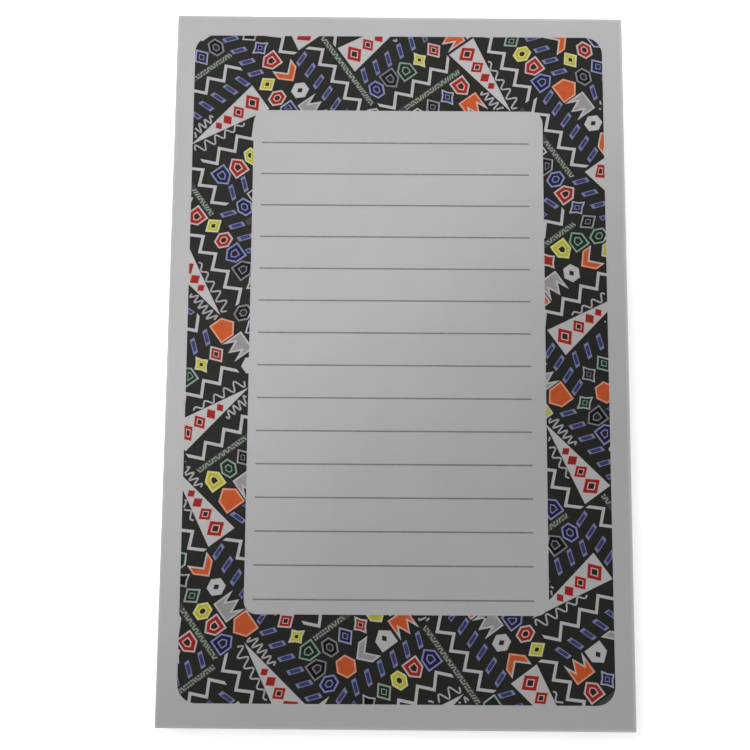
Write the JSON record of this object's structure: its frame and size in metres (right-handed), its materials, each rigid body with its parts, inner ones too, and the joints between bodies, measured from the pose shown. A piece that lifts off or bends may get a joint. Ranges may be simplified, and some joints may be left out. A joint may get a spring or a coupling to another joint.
{
  "type": "ruled note pad",
  "caption": "Glued-head ruled writing pad on a greyboard back, with a dark patterned border printed round a white ruled panel.",
  "frame": {"origin": "middle of the pad's box in X and Y, on the flat back that it lies on", "axes": "+Z out of the printed face, +Y along the long side towards the glued head, +X across the sheet"},
  "size_m": [0.1392, 0.2162, 0.0058],
  "materials": {
    "greyboard": "matte uncoated greyboard",
    "writing_paper": "matte uncoated white offset paper",
    "padding_glue": "dried white padding glue, low sheen",
    "rule_ink": "matte grey offset ink",
    "charcoal_ink": "matte charcoal offset ink",
    "navy_ink": "matte navy offset ink",
    "yellow_ink": "matte yellow offset ink",
    "black_ink": "matte black offset ink",
    "green_ink": "matte dark green offset ink",
    "red_ink": "matte red offset ink",
    "orange_ink": "matte orange offset ink",
    "grey_ink": "matte light grey offset ink",
    "blue_ink": "matte blue offset ink",
    "moss_ink": "matte grey-green offset ink"
  },
  "bodies": {
    "root": {"backing_board": "greyboard", "sheet_block": "writing_paper", "padding_glue": "padding_glue", "ruled_lines": "rule_ink", "print_charcoal": "charcoal_ink", "print_navy": "navy_ink", "print_yellow": "yellow_ink", "print_black": "black_ink", "print_green": "green_ink", "print_red": "red_ink", "print_orange": "orange_ink", "print_grey": "grey_ink", "print_blue": "blue_ink", "print_moss": "moss_ink"}
  },
  "joints": []
}
